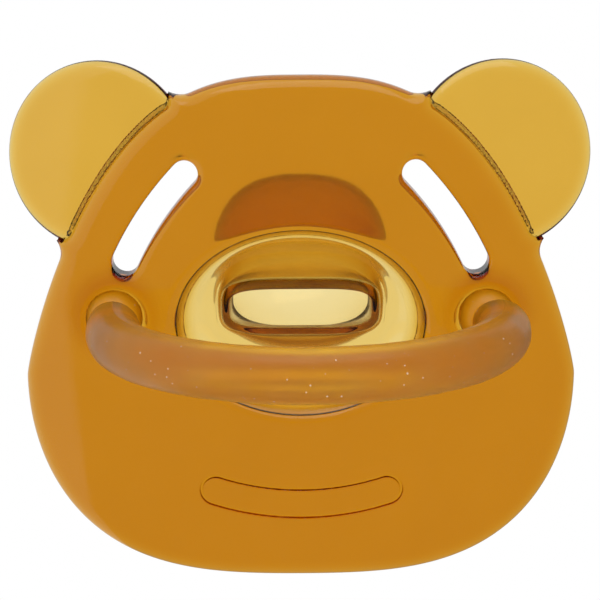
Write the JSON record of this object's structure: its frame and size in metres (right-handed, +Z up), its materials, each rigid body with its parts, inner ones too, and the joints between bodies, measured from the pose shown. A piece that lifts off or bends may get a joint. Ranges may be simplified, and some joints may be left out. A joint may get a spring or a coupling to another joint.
{
  "type": "pacifier",
  "caption": "Animal-shaped soft rubber pacifier: domed shield with thinner round ears, vent slots, hollow teat and a swinging half-ring handle.",
  "frame": {"origin": "bottom centre of the whole part: the middle of its width and of its depth, at the height of the chin", "axes": "+X to the viewer's right, +Y from the handle towards the teat, +Z up towards the ears"},
  "size_m": [0.0578, 0.055, 0.0518],
  "materials": {
    "shield_rubber": "smooth moulded natural rubber, deep amber, translucent, softly glossy",
    "ear_rubber": "the same rubber in a thinner and paler lobe",
    "teat_rubber": "the same rubber as a thin wall, pale yellow and translucent",
    "handle_rubber": "the same rubber with a fine frosted bloom and specks"
  },
  "bodies": {
    "shield_body": {"shield": "shield_rubber", "left_ear": "ear_rubber", "right_ear": "ear_rubber", "teat": "teat_rubber"},
    "handle_body": {"handle": "handle_rubber"}
  },
  "joints": [
    {"name": "handle_swing", "type": "hinge", "parent": "shield_body", "child": "handle_body", "pos_m": [0, -0.00004, 0.0269], "axis": [1, 0, 0], "range_deg": [-25, 25], "stiffness_Nm_per_rad": 0.03}
  ]
}
